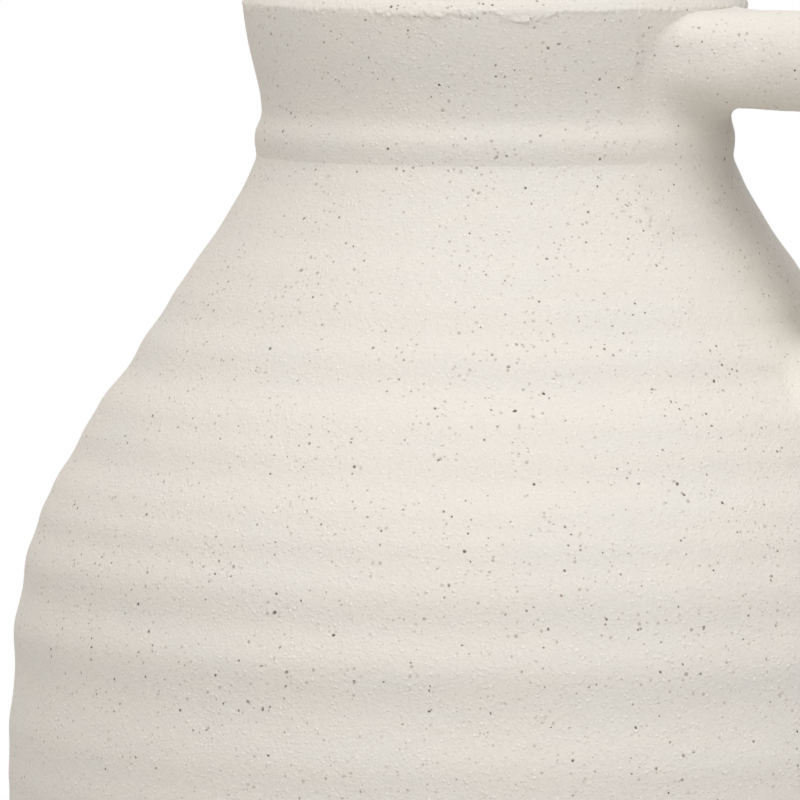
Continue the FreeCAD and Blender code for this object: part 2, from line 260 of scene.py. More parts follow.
def make_piece(name, shape, material, slot, *nodes):
    """Turn a bmesh into a finished piece that stands for the CAD nodes."""
    bmesh.ops.recalc_face_normals(shape, faces=shape.faces)
    piece = add_object(name, shape, material)
    piece.data.polygons.foreach_set("use_smooth", [True] * len(piece.data.polygons))
    piece.data.set_sharp_from_angle(angle=SHARP_ANGLE)
    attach(piece, "root")
    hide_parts(*nodes)


def places_of(shape):
    return np.array([vertex.co for vertex in shape.verts], float).reshape(-1, 3)


def move_to(shape, places):
    for vertex, place in zip(shape.verts, places):
        vertex.co = place


def turned(outline, steps=TURN_STEPS):
    """A closed outline of (radius, height), or one that starts and ends on the axis, turned once round."""
    shape = bmesh.new()
    corners = [shape.verts.new((radius, 0, height)) for radius, height in outline]
    on_axis = outline[0][0] == 0
    pairs = zip(corners, corners[1:] + ([] if on_axis else corners[:1]))
    edges = [shape.edges.new(pair) for pair in pairs]
    # One slice is spun, then copied beside itself until the copies close the turn.
    slices = 2 ** TURN_DOUBLINGS
    turn = FULL_TURN / slices
    bmesh.ops.spin(shape, geom=corners + edges, cent=(0, 0, 0), axis=(0, 0, 1), angle=turn,
                   steps=steps // slices)
    for _ in range(TURN_DOUBLINGS):
        copies = bmesh.ops.duplicate(shape, geom=[*shape.verts, *shape.edges, *shape.faces])["geom"]
        corners = [item for item in copies if isinstance(item, bmesh.types.BMVert)]
        bmesh.ops.rotate(shape, cent=(0, 0, 0), matrix=Matrix.Rotation(turn, 3, "Z"), verts=corners)
        turn *= 2
    bmesh.ops.remove_doubles(shape, verts=shape.verts, dist=SAME_PLACE)
    return shape


def seam(height, inner, outer):
    """The luting groove's three corners, from the inside out."""
    quarter = (outer - inner) / 4
    deepest = (inner + 2 * quarter, height - SEAM_DEPTH)
    return [(inner + quarter, height), deepest, (outer - quarter, height)]


def level_radii(height):
    """The inner and the outer radius at a height, before any dent."""
    at = np.array([height])
    outer = float(np.interp(height, LEVELS, OUTER))
    return float(inner_radius(at, np.zeros(1))[0]), outer


def wall_section(top, bottom):
    """A ring of wall between two joints, with its groove at each."""
    outer_rows = rows(top, bottom, OUTER_ROW)
    inner_rows = rows(bottom, top, INNER_ROW)
    outline = [(level_radii(height)[1], height) for height in outer_rows]
    outline += reversed(seam(bottom, *level_radii(bottom)))
    outline += [(level_radii(height)[0], height) for height in inner_rows]
    outline += seam(top, *level_radii(top))
    return turned(outline)


def dent_wall(shape):
    """Give a wall's two sides their real radii, and what lies between them its share."""
    places = places_of(shape)
    radii = np.hypot(places[:, 0], places[:, 1])
    angles = np.arctan2(places[:, 1], places[:, 0])
    heights = places[:, 2]
    plain_inner = inner_radius(heights, np.zeros_like(heights))
    plain_outer = np.interp(heights, LEVELS, OUTER)
    share = np.clip((radii - plain_inner) / (plain_outer - plain_inner), 0, 1)
    new_inner = inner_radius(heights, angles)
    new_outer = vessel_radius(heights, angles)
    move_to(shape, on_circle(new_inner + (new_outer - new_inner) * share, heights, angles))
    return shape


# The lip: rounded on top, with a lower edge that tore as it was folded over the collar

# From the lip's widest line to the middle of its top: how far in and how far below the top, in millimetres
LIP_EDGE = [
    (0.00, 2.90), (0.07, 2.50), (0.22, 2.10), (0.58, 1.50),
    (0.95, 0.97), (1.45, 0.45), (2.10, 0.13), (3.00, 0.00),
]
LIP_ROUND_WIDTH = LIP_EDGE[-1][0] * MM
LIP_ROUND_HEIGHT = LIP_EDGE[0][1] * MM
LIP_ROUND_ROWS = 16
LIP_ROW = 0.22 * MM
LIP_STEPS = 1440
TEAR_DEPTH = 2.9 * MM
# Over what height the torn edge falls to the collar, how much more in soft spots, and their spacing
TEAR_SOFTNESS = 0.35 * MM
SOFT_EDGE, SOFT_SPOTS = 0.6 * MM, 30 * MM
# Where the clay hangs lower: the angle and the half width in degrees, and the drop
TEAR_SPOTS = [
    (-111, 3.5, 0.6 * MM), (-107, 1.5, 0.9 * MM), (-90, 2.0, 1.1 * MM), (-86, 1.6, 1.5 * MM),
    (-81, 3.2, 1.1 * MM), (-75, 2.6, 1.4 * MM), (-69, 3.0, 1.3 * MM), (-55.5, 6.5, 2.1 * MM),
    (-41, 5.0, 0.3 * MM), (-20, 6.0, 0.5 * MM), (14, 5.0, 1.4 * MM), (37, 3.0, 0.8 * MM),
    (58, 7.0, 1.7 * MM), (84, 2.5, 1.2 * MM), (101, 4.0, 0.9 * MM), (133, 2.0, 1.5 * MM),
    (139, 3.0, 1.0 * MM), (166, 6.0, 1.9 * MM), (-163, 2.5, 1.1 * MM), (-138, 4.0, 1.4 * MM),
]
SPOT_SQUARENESS = 4
# The small unevenness of the edge: crests in a turn, and height
TEAR_WAVES = [(17, 0.13 * MM), (31, 0.10 * MM), (53, 0.07 * MM), (97, 0.06 * MM), (151, 0.04 * MM)]
OVERHANG = -0.04 * MM
ROLL, ROLL_WIDTH = 0.13 * MM, 0.7 * MM
CRUMBS, CRUMB_SIZE = 0.11 * MM, 1.9 * MM
CRUMB_REACH = 1.3 * MM
# How crumbly the edge is where it hangs least, and how much more so where it hangs lower
CRUMBS_LEAST, CRUMBS_MORE = 0.3, 1.2


def tear_depth(angles):
    depth = np.full_like(angles, TEAR_DEPTH)
    for spot, half_width, drop in TEAR_SPOTS:
        away = np.degrees(np.angle(np.exp(1j * (angles - math.radians(spot)))))
        depth += drop * np.exp(-(away / half_width) ** SPOT_SQUARENESS)
    # Each wave starts at another place.
    for index, (count, height) in enumerate(TEAR_WAVES):
        depth += height * np.sin(count * angles + index * index)
    return depth


def lip_outline():
    bore = level_radii(LIP_FOOT)[0]
    outline = [(LIP_RADIUS, height) for height in rows(LIP_FOOT, RIM - LIP_ROUND_HEIGHT, LIP_ROW)]
    steps = np.linspace(0, 1, LIP_ROUND_ROWS)
    spots = np.linspace(0, 1, len(LIP_EDGE))
    inset = smooth_line([(spot, across * MM) for spot, (across, _) in zip(spots, LIP_EDGE)], steps)
    drop = smooth_line([(spot, down * MM) for spot, (_, down) in zip(spots, LIP_EDGE)], steps)
    outline += [(LIP_RADIUS - across, RIM - down) for across, down in zip(inset[1:], drop[1:])]
    outline += [(bore + across, RIM - down) for across, down in zip(inset[::-1], drop[::-1])]
    outline += [(bore, LIP_FOOT)]
    outline += seam(LIP_FOOT, bore, LIP_RADIUS)
    return outline


def tear_lip(shape):
    places = places_of(shape)
    radii = np.hypot(places[:, 0], places[:, 1])
    angles = np.arctan2(places[:, 1], places[:, 0])
    heights = places[:, 2]
    depths = RIM - heights
    collar = vessel_radius(heights, angles)
    tear = tear_depth(angles)
    crumbs = ripple(places, CRUMB_SIZE, CRUMB_SEED)
    edge_nearness = np.exp(-((depths - tear) / CRUMB_REACH) ** 2)
    edge_nearness *= CRUMBS_LEAST + CRUMBS_MORE * smooth_step(0, CRUMB_REACH, tear - TEAR_DEPTH)
    round_lip = on_circle(LIP_RADIUS, 0 * angles, angles)
    softness = TEAR_SOFTNESS + SOFT_EDGE * (1 + ripple(round_lip, SOFT_SPOTS, SOFT_SEED)) / 2
    kept = smooth_step(-0.5, 0.5, (tear - depths) / np.maximum(softness, TEAR_SOFTNESS))
    roll = np.exp(-((depths - tear + ROLL_WIDTH) / ROLL_WIDTH) ** 2)
    stand = OVERHANG + ROLL * roll * (1 + crumbs / 2)
    torn = collar + (radii + stand - collar) * kept + CRUMBS * crumbs * edge_nearness
    bore = level_radii(LIP_FOOT)[0]
    outwards = smooth_step(bore + LIP_ROUND_WIDTH, LIP_RADIUS - LIP_ROUND_WIDTH / 2, radii)
    inner = radii + WIDE_DENTS * ripple(places, WIDE_DENT_SIZE, INNER_SEED)
    uneven = WIDE_DENTS * ripple(places, WIDE_DENT_SIZE, LIP_TOP_SEED) + SMALL_DENTS * crumbs
    on_top = smooth_step(RIM - LIP_ROUND_HEIGHT, RIM, heights)
    move_to(shape, on_circle(inner + (torn - inner) * outwards, heights + uneven * on_top, angles))
    return shape


# The handle's shape: a bar, the vessel and the clay pressed round both, run together

BAR_THICKNESS = 24.5 * MM
BAR_WIDTH = 2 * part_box("handle")[1].y
BAR_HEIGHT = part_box("handle")[1].z - BAR_THICKNESS / 2
BAR_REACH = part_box("handle")[1].x - BAR_THICKNESS / 2
BAR_TURN = 22 * MM
# Where the leg's centre line meets the shoulder, as shares of the shoulder's height and width
LEG_ROOT_SHARE = (0.590, 0.706)
TURN_CENTRE = (BAR_REACH - BAR_TURN, BAR_HEIGHT - BAR_TURN)
LEG_ROOT = (
    NECK_ROOT_RADIUS + (BELLY_RADIUS - NECK_ROOT_RADIUS) * LEG_ROOT_SHARE[1],
    NECK_FOOT + (WAIST - NECK_FOOT) * LEG_ROOT_SHARE[0],
)
LEG_LEAN = math.atan2(BAR_REACH - LEG_ROOT[0], TURN_CENTRE[1] - LEG_ROOT[1])
LEG_DOWN = (-math.sin(LEG_LEAN), -math.cos(LEG_LEAN))
LEG_OUT = (math.cos(LEG_LEAN), -math.sin(LEG_LEAN))
BAR_DENTS, BAR_DENT_SIZE = 0.22 * MM, 26 * MM
BAR_GRAIN, BAR_GRAIN_SIZE = 0.05 * MM, 7 * MM

# How softly the bar runs into the vessel at some depths below the rim, from the lip to the leg's root
BLEND_DEPTHS = (4 * MM, 12 * MM, 20 * MM, 28 * MM, 70 * MM)
BLENDS = (1.2 * MM, 5 * MM, 6 * MM, 7 * MM, 11 * MM)
CLAY_BLEND = 3.5 * MM

# The bar widens and squares up where it nears the neck, and climbs to the lip on its far side
FLARE_REACHES = (58 * MM, 82 * MM)
FLARE_SPREAD = 7 * MM
FLARE_SQUARENESS = 1.6
CLIMB_REACHES = (62 * MM, 77 * MM)
CLIMB_SIDES = (0 * MM, 12 * MM)
CLIMB = 0.5 * MM

# The clay smeared down the neck below the bar, and the lump round the leg's end, each with half sizes
# out, across and down
SMEAR_RADIUS = 57.3 * MM
SMEAR_DROP = 17 * MM
SMEAR_HALVES = (4 * MM, 20 * MM, 25 * MM)
SHOULDER_TILT = math.radians(29)
WAD_IN, WAD_DOWN = 4.5 * MM, 3 * MM
WAD_CENTRE = Vector((LEG_ROOT[0] - WAD_IN, 0, LEG_ROOT[1] - WAD_DOWN))
WAD_HALVES = (9 * MM, 22 * MM, 31 * MM)
# Keeps the middle of an oval or a lump from a division by zero
NO_SHARE = 1e-6


def vessel_distance(points):
    heights = points[:, 2]
    radii = np.hypot(points[:, 0], points[:, 1])
    outer = vessel_radius(heights, np.arctan2(points[:, 1], points[:, 0]))
    return (radii - outer) * np.interp(heights, LEVELS, LEAN_COSINE)


def oval_distance(across, up, half_across, half_up, power):
    """Roughly how far a point lies outside an oval, or a squarer form where the power is above 2."""
    across_share = np.abs(across / half_across) + NO_SHARE
    up_share = np.abs(up / half_up) + NO_SHARE
    share = (across_share ** power + up_share ** power) ** (1 / power)
    across_slope = (across_share / share) ** (power - 1) / half_across
    up_slope = (up_share / share) ** (power - 1) / half_up
    return (share - 1) / np.hypot(across_slope, up_slope)


def bar_distance(points):
    across, height = points[:, 0] - TURN_CENTRE[0], points[:, 2] - TURN_CENTRE[1]
    above_level = height - BAR_TURN
    outside_leg = across * LEG_OUT[0] + height * LEG_OUT[1] - BAR_TURN
    along_leg = across * LEG_DOWN[0] + height * LEG_DOWN[1]
    offset = np.where(along_leg > 0, outside_leg, np.hypot(across, height) - BAR_TURN)
    nearer_level = (across < 0) & ((along_leg <= 0) | (np.abs(above_level) < np.abs(outside_leg)))
    offset = np.where(nearer_level, above_level, offset)
    dents = BAR_DENTS * ripple(points, BAR_DENT_SIZE, BAR_SEED)
    dents += BAR_GRAIN * ripple(points, BAR_GRAIN_SIZE, GRAIN_SEED)
    reach = points[:, 0]
    flare = (1 - smooth_step(*FLARE_REACHES, reach)) * smooth_step(-BAR_THICKNESS, 0, above_level)
    climb = CLIMB * (1 - smooth_step(*CLIMB_REACHES, reach)) * smooth_step(*CLIMB_SIDES, points[:, 1])
    climb *= smooth_step(0, BAR_THICKNESS / 2, above_level)
    half_width = BAR_WIDTH / 2 + FLARE_SPREAD * flare
    power = 2 + FLARE_SQUARENESS * flare
    return oval_distance(points[:, 1], offset, half_width, BAR_THICKNESS / 2 + climb, power) - dents


def lump_distance(local, halves):
    """Roughly how far a point lies outside an egg-shaped lump, from its place along the lump's own axes."""
    share = np.linalg.norm(local / halves, axis=1) + NO_SHARE
    slope = np.linalg.norm(local / np.square(halves), axis=1) / share + NO_SHARE
    return (share - 1) / slope


def smear_distance(points):
    around = np.arctan2(points[:, 1], points[:, 0]) * SMEAR_RADIUS
    out = np.hypot(points[:, 0], points[:, 1]) - SMEAR_RADIUS
    up = points[:, 2] - BAR_HEIGHT + SMEAR_DROP
    return lump_distance(np.stack([out, around, up], axis=1), SMEAR_HALVES)


def wad_distance(points):
    tilt = np.array(Matrix.Rotation(-SHOULDER_TILT, 3, "Y"))
    return lump_distance((points - np.array(WAD_CENTRE)) @ tilt, WAD_HALVES)


def soft_union(first, second, blend):
    near = np.clip(blend - np.abs(first - second), 0, None)
    return np.minimum(first, second) - near ** 2 / (4 * blend)


def body_distance(points):
    """The vessel with both lumps of clay on it."""
    with_smear = soft_union(vessel_distance(points), smear_distance(points), CLAY_BLEND)
    return soft_union(with_smear, wad_distance(points), CLAY_BLEND)


def jug_distance(points):
    blend = np.interp(RIM - points[:, 2], BLEND_DEPTHS, BLENDS)
    return soft_union(body_distance(points), bar_distance(points), blend)


SETTLE_ROUNDS = 6
PROBE = 0.05 * MM
LEAST_STEEPNESS = 0.2


def settled(points):
    """The same points, each moved to the jug's nearest surface."""
    points = points.copy()
    probes = np.eye(3) * PROBE
    for _ in range(SETTLE_ROUNDS):
        distance = jug_distance(points)
        ahead = np.stack([jug_distance(points + probe) for probe in probes], axis=1)
        behind = np.stack([jug_distance(points - probe) for probe in probes], axis=1)
        slope = (ahead - behind) / (2 * PROBE)
        steepness = np.maximum((slope ** 2).sum(1), LEAST_STEEPNESS)
        points -= slope * (distance / steepness)[:, None]
    return points


# A point inside the bar, which finds no way out, stops at the limit, out of sight
LIFT_ROUNDS = 40
LIFT_LIMIT = 16 * MM


def lifted(points, outwards):
    """The same points, each moved straight outwards or back to where it leaves the jug."""
    travel = np.zeros(len(points))
    for _ in range(LIFT_ROUNDS):
        travel -= jug_distance(points + outwards * travel[:, None])
        travel = np.minimum(travel, LIFT_LIMIT)
    return points + outwards * travel[:, None]


# Inside its neighbour, a surface stays plain below the first depth and has its full shape above the second.
HIDDEN_DEPTHS = (-4 * MM, -1.6 * MM)

BAR_SIDES = 112
BAR_STEP = 1.1 * MM
# How far the bar goes on past the throat's radius and past the leg's root. Both ends come out of the wall's
# inner side: the upper one by up to 1.5 mm in the mouth, the lower one by up to 21 mm in the belly.
ROOT_BURIED = 4.5 * MM
LEG_BURIED = 34 * MM


def bar_stations():
    """Places along the centre line, each with the bar's direction there as an angle below the level."""
    start = THROAT_RADIUS - ROOT_BURIED
    stations = [((reach, BAR_HEIGHT), 0.0) for reach in rows(start, TURN_CENTRE[0], BAR_STEP)]
    full_bend = math.pi / 2 + LEG_LEAN
    for turn in rows(0, full_bend, BAR_STEP / BAR_TURN)[1:]:
        reach = TURN_CENTRE[0] + BAR_TURN * math.sin(turn)
        stations.append(((reach, TURN_CENTRE[1] + BAR_TURN * math.cos(turn)), turn))
    bend_end = Vector(stations[-1][0])
    leg_end = Vector(LEG_ROOT) + Vector(LEG_DOWN) * LEG_BURIED
    length = (leg_end - bend_end).length
    for along in rows(0, length, BAR_STEP)[1:]:
        stations.append((tuple(bend_end + (leg_end - bend_end) * along / length), full_bend))
    return stations


def bar_ring_matrix(station):
    """Takes a unit circle to the bar's section at a station."""
    (reach, height), turn = station
    place = Matrix.Translation((reach, 0, height)) @ Matrix.Rotation(turn + math.pi / 2, 4, "Y")
    flare = 0 if turn else FLARE_SPREAD * (1 - float(smooth_step(*FLARE_REACHES, reach)))
    return place @ Matrix.Diagonal((BAR_THICKNESS / 2, BAR_WIDTH / 2 + flare, 1, 1))


def pulled_handle():
    shape = bmesh.new()
    matrices = [bar_ring_matrix(station) for station in bar_stations()]
    bmesh.ops.create_circle(shape, segments=BAR_SIDES, radius=1, matrix=matrices[0])
    edges = list(shape.edges)
    for before, after in zip(matrices, matrices[1:]):
        grown = bmesh.ops.extrude_edge_only(shape, edges=edges)["geom"]
        corners = [item for item in grown if isinstance(item, bmesh.types.BMVert)]
        bmesh.ops.transform(shape, matrix=after @ before.inverted(), verts=corners)
        edges = [item for item in grown if isinstance(item, bmesh.types.BMEdge)
                 and all(end in corners for end in item.verts)]
    bmesh.ops.holes_fill(shape, edges=[edge for edge in shape.edges if edge.is_boundary])
    places = places_of(shape)
    shown = smooth_step(*HIDDEN_DEPTHS, body_distance(places))[:, None]
    move_to(shape, places + (settled(places) - places) * shown)
    return shape


PATCH_STEP = 0.8 * MM
# How deep a patch's edge is tucked in, and over what share of its half width
PATCH_TUCK = 0.35 * MM
PATCH_TUCK_SHARE = 0.14
PATCH_THICKNESS = 3 * MM
# Half the angle that each patch spans round the jug, its top and its foot
UPPER_PATCH = (math.radians(33), RIM - 3 * MM, RIM - 66 * MM)
LOWER_PATCH = (math.radians(22), RIM - 72 * MM, RIM - 152 * MM)


def to_nearest(plain):
    """A patch's points moved to the jug's nearest surface, but for those inside the bar."""
    shown = smooth_step(*HIDDEN_DEPTHS, bar_distance(plain))[:, None]
    return plain + (settled(plain) - plain) * shown


def straight_out(plain):
    """A patch's points moved to the jug's surface at right angles to the shoulder."""
    angles = np.arctan2(plain[:, 1], plain[:, 0])
    rise = np.full_like(angles, math.sin(SHOULDER_TILT))
    return lifted(plain, on_circle(math.cos(SHOULDER_TILT), rise, angles))


def root_clay(half_angle, top, bottom, shaped):
    """A patch of clay over the vessel round one of the bar's ends, tucked in all round its edge."""
    shape = bmesh.new()
    mean_radius = float(np.interp((top + bottom) / 2, LEVELS, OUTER))
    columns = int(2 * half_angle * mean_radius / PATCH_STEP)
    lines = int((top - bottom) / PATCH_STEP)
    bmesh.ops.create_grid(shape, x_segments=columns, y_segments=lines, size=1)
    across, up = places_of(shape)[:, :2].T
    angles = across * half_angle
    heights = (top + bottom) / 2 + (top - bottom) / 2 * up
    places = shaped(on_circle(vessel_radius(heights, angles), heights, angles))
    edge = np.maximum(np.abs(across), np.abs(up))
    tuck = PATCH_TUCK * smooth_step(1 - PATCH_TUCK_SHARE, 1, edge)
    inwards = -on_circle(np.ones_like(angles), np.zeros_like(angles), angles)
    front = places + inwards * tuck[:, None]
    move_to(shape, front)
    back = bmesh.ops.extrude_face_region(shape, geom=list(shape.faces), use_keep_orig=True)["geom"]
    for vertex in back:
        if isinstance(vertex, bmesh.types.BMVert):
            angle = math.atan2(vertex.co.y, vertex.co.x)
            radius = float(np.interp(vertex.co.z, LEVELS, OUTER)) - PATCH_THICKNESS
            vertex.co.xy = radius * math.cos(angle), radius * math.sin(angle)
    return shape


# The floor, with the turned foot under it and a spiral ridge on it

FLOOR_ROW = 1.6 * MM
FOOT_ROUND_ROWS = 5
SPIRAL_GAP = 9 * MM
SPIRAL_RISE = 0.5 * MM
SPIRAL_ENDS = (FOOT_RADIUS - 2 * WALL, FOOT_RADIUS - WALL)
TURNING_GAP = 2.6 * MM
TURNING_DEPTH = 0.06 * MM


def floor_outline():
    inner, outer = level_radii(FLOOR_TOP)
    recess = FOOT_RADIUS - FOOT_ROUNDING - FOOT_WIDTH
    outline = [(radius, FLOOR_TOP) for radius in rows(0, inner, FLOOR_ROW)]
    outline += seam(FLOOR_TOP, inner, outer)
    height_steps = rows(FLOOR_TOP, FOOT_ROUNDING, FLOOR_ROW)
    flare = outer - FOOT_RADIUS
    outline += [(FOOT_RADIUS + flare * (height - FOOT_ROUNDING) / (FLOOR_TOP - FOOT_ROUNDING), height)
                for height in height_steps]
    for turn in np.linspace(0, math.pi / 2, FOOT_ROUND_ROWS)[1:]:
        inset = FOOT_ROUNDING * (1 - math.cos(turn))
        outline.append((FOOT_RADIUS - inset, FOOT_ROUNDING * (1 - math.sin(turn))))
    outline += [(radius, 0) for radius in rows(FOOT_RADIUS - FOOT_ROUNDING, recess, FLOOR_ROW)[1:]]
    outline += [(radius, FOOT_RECESS) for radius in rows(recess - FOOT_RECESS, 0, FLOOR_ROW)]
    return outline


def turned_floor():
    shape = turned(floor_outline())
    places = places_of(shape)
    radii = np.hypot(places[:, 0], places[:, 1])
    angles = np.arctan2(places[:, 1], places[:, 0])
    heights = places[:, 2].copy()
    inside = smooth_step(FLOOR_TOP - FOOT_RECESS, FLOOR_TOP, heights)
    inside *= 1 - smooth_step(*SPIRAL_ENDS, radii)
    spiral = np.sin(radii / SPIRAL_GAP * FULL_TURN + angles) * smooth_step(0, SPIRAL_GAP, radii)
    heights += SPIRAL_RISE * spiral * inside
    under = (places[:, 2] <= FOOT_RECESS + LEVEL_STEP) & (places[:, 2] >= FOOT_RECESS - LEVEL_STEP)
    heights += np.where(under, TURNING_DEPTH * np.sin(radii / TURNING_GAP * FULL_TURN), 0)
    outer_side = (places[:, 2] > FOOT_ROUNDING) & (radii > FOOT_RADIUS - LEVEL_STEP)
    match = vessel_radius(np.full_like(heights, FLOOR_TOP), angles) - level_radii(FLOOR_TOP)[1]
    share = np.where(outer_side, (places[:, 2] - FOOT_ROUNDING) / (FLOOR_TOP - FOOT_ROUNDING), 0)
    move_to(shape, on_circle(radii + match * share, heights, angles))
    return shape


# Materials


class Value:
    """A number or a colour in a shader. Sums and products of numbers add their Math nodes."""

    def __init__(self, recipe, socket):
        self.recipe = recipe
        self.socket = socket

    def worked_out(self, operation, first, second):
        return self.recipe.node("ShaderNodeMath", {"operation": operation}, {0: first, 1: second})

    def __add__(self, other):
        return self.worked_out("ADD", self, other)

    def __sub__(self, other):
        return self.worked_out("SUBTRACT", self, other)

    def __rsub__(self, other):
        return self.worked_out("SUBTRACT", other, self)

    def __mul__(self, other):
        return self.worked_out("MULTIPLY", self, other)

    def __truediv__(self, other):
        return self.worked_out("DIVIDE", self, other)

    def __pow__(self, other):
        return self.worked_out("POWER", self, other)

    def at_least(self, other):
        return self.worked_out("MAXIMUM", self, other)

    def between(self, low, high):
        """0 at low and 1 at high, with soft ends."""
        return self.recipe.node("ShaderNodeMapRange", {"interpolation_type": "SMOOTHSTEP"}, {
            "Value": self, "From Min": low, "From Max": high})

    __radd__ = __add__
    __rmul__ = __mul__


# The sockets for colours of a Mix node
MIX_LOW, MIX_HIGH, MIXED = 6, 7, 2


class Recipe:
    """The nodes of one material or of the world."""

    def __init__(self, owner):
        owner.use_nodes = True
        self.tree = owner.node_tree
        self.tree.nodes.clear()

    def node(self, kind, settings=None, sockets=None, out=0):
        """Add a node, set it up, fill its sockets and give one of its outputs."""
        item = self.tree.nodes.new(kind)
        for name, value in (settings or {}).items():
            setattr(item, name, value)
        for name, value in (sockets or {}).items():
            if isinstance(value, Value):
                self.tree.links.new(value.socket, item.inputs[name])
            else:
                item.inputs[name].default_value = value
        return Value(self, item.outputs[out]) if item.outputs else None

    def outputs(self, value, *names):
        """Other outputs of the node that gave a value."""
        return [Value(self, value.socket.node.outputs[name]) for name in names]

    def mix(self, share, low, high):
        """The colour that is low where share is 0 and high where it is 1."""
        return self.node("ShaderNodeMix", {"data_type": "RGBA"}, {
            0: share, MIX_LOW: low, MIX_HIGH: high}, out=MIXED)

    def noise(self, place, size, detail, roughness):
        return self.node("ShaderNodeTexNoise", {"noise_dimensions": "3D"}, {
            "Vector": place, "Scale": 1 / size, "Detail": detail, "Roughness": roughness})

    def noise_colour(self, place, size, detail, roughness):
        """Three noises at once, as a colour."""
        return self.outputs(self.noise(place, size, detail, roughness), "Color")[0]

    def cells(self, place, size):
        """The distance to the nearest scattered grain, and three random numbers of that grain."""
        near = self.node("ShaderNodeTexVoronoi", {"voronoi_dimensions": "3D"}, {
            "Vector": place, "Scale": 1 / size})
        colour = self.outputs(near, "Color")[0]
        split = self.node("ShaderNodeSeparateColor", {}, {"Color": colour})
        return near * size, self.outputs(split, "Red", "Green", "Blue")


# Noises, each with its size, detail and roughness
TINT = (38 * MM, 3.0, 0.55)
STREAKS = (11 * MM, 3.0, 0.6)
PATCHES = (9 * MM, 3.0, 0.6)
SAND = (0.9 * MM, 2.0, 0.55)
GRIT = (2.8 * MM, 3.0, 0.6)
CROWDS = (14 * MM, 2.0, 0.6)
BENDS = (0.9 * MM, 1.0, 0.5)
# The streaks are long on the level and narrow upwards, and the grains are bent by up to this much.
STREAK_SHAPE = (0.3, 0.3, 1.4)
BEND = 0.55 * MM

# Grains, each kind with its spacing, its largest radius, how few of them are large, and its soft edge
SPECKS = (2.2 * MM, 0.34 * MM, 1.4, 0.2 * MM)
DUST = (1.7 * MM, 0.36 * MM, 0.7, 0.3 * MM)
PALE_GRAINS = (1.2 * MM, 0.4 * MM, 0.9, 0.32 * MM)

# Between which values each noise turns from nothing to all
TINT_ENDS = (0.75, 1.25)
PATCH_ENDS = (0.35, 0.7)
SAND_ENDS = (0.3, 0.75)
CROWD_ENDS = (0.3, 0.7)
BROWN_ENDS = (0.55, 0.9)

# How much each shows in the colour. Where there are two numbers, the second is for what varies.
PATCH_SHARE = 0.4
SAND_SHARE = 0.25
PALE_SHARE = 0.7
DUST_SHARE = (0.12, 0.36)
SPECK_SHARE = (0.45, 0.45)
CROWD_SHARE = (0.65, 0.75)

# How much each shows in the relief and in the shine
SAND_RISE, GRIT_RISE, PALE_RISE, SPECK_SINK = 0.4, 0.35, 0.35, 0.25
RELIEF_STRENGTH = 0.42
GRIT_SHINE, SPECK_SHINE = 0.08, 0.12
SHINE = 0.25


def varied(share, value):
    """The steady part of a share, and its other part times a value from 0 to 1."""
    steady, more = share
    return steady + more * value


def grains(recipe, place, kind, crowd=1):
    """Grains scattered through the clay: where they show, and two random numbers for each."""
    spacing, largest, rarity, edge = kind
    distance, (chance, tone, sort) = recipe.cells(place, spacing)
    radius = chance ** rarity * (crowd * largest)
    return (radius - distance).between(-edge / 2, edge / 2), tone, sort


def linear(red, green, blue):
    """A colour written as it looks on a screen, from 0 to 255, as the light that it sends back."""
    # These are the numbers of the standard curve of screens, from its upper part, where all the colours are.
    return tuple(((channel / 255 + 0.055) / 1.055) ** 2.4 for channel in (red, green, blue)) + (1.0,)


def speckled_finish(name, ground, warm, cool, speck_dark, speck_brown, white_grain, sand_height, roughness):
    """Sandy clay or slip with iron specks and white grains."""
    material = bpy.data.materials.new(name)
    recipe = Recipe(material)
    place = recipe.node("ShaderNodeTexCoord", out="Object")

    tint = recipe.noise(place, *TINT)
    # The wet slip was wiped round the turning jug, which left it in level streaks.
    wiped = recipe.node("ShaderNodeVectorMath", {"operation": "MULTIPLY"}, {0: place, 1: STREAK_SHAPE})
    streaks = recipe.noise(wiped, *STREAKS)
    patches = recipe.noise(place, *PATCHES)
    sand = recipe.noise(place, *SAND)
    grit = recipe.noise(place, *GRIT)

    # The grains are of uneven shape, and lie closer together in some places than in others.
    bends = recipe.noise_colour(place, *BENDS)
    bends = recipe.node("ShaderNodeVectorMath", {"operation": "SCALE"}, {0: bends, "Scale": BEND})
    bent = recipe.node("ShaderNodeVectorMath", {"operation": "ADD"}, {0: place, 1: bends})
    crowd = varied(CROWD_SHARE, recipe.noise(place, *CROWDS).between(*CROWD_ENDS))
    specks, speck_tone, speck_sort = grains(recipe, bent, SPECKS, crowd)
    dust, dust_tone, _ = grains(recipe, bent, DUST, crowd)
    pale, _, _ = grains(recipe, bent, PALE_GRAINS)

    colour = recipe.mix((tint + streaks).between(*TINT_ENDS), warm, cool)
    colour = recipe.mix(patches.between(*PATCH_ENDS) * PATCH_SHARE, colour, ground)
    colour = recipe.mix(sand.between(*SAND_ENDS) * SAND_SHARE, colour, white_grain)
    colour = recipe.mix(pale * PALE_SHARE, colour, white_grain)
    colour = recipe.mix(dust * varied(DUST_SHARE, dust_tone), colour, speck_brown)
    speck_colour = recipe.mix(speck_sort.between(*BROWN_ENDS), speck_dark, speck_brown)
    colour = recipe.mix(specks * varied(SPECK_SHARE, speck_tone), colour, speck_colour)

    height = sand * SAND_RISE + grit * GRIT_RISE + pale * PALE_RISE - specks * SPECK_SINK
    bump = recipe.node("ShaderNodeBump", {}, {
        "Strength": RELIEF_STRENGTH, "Distance": sand_height, "Height": height})
    rough = roughness - GRIT_SHINE * grit - SPECK_SHINE * specks
    shader = recipe.node("ShaderNodeBsdfPrincipled", {}, {
        "Base Color": colour, "Roughness": rough, "Normal": bump, "Specular IOR Level": SHINE})
    recipe.node("ShaderNodeOutputMaterial", {}, {"Surface": shader})
    return material


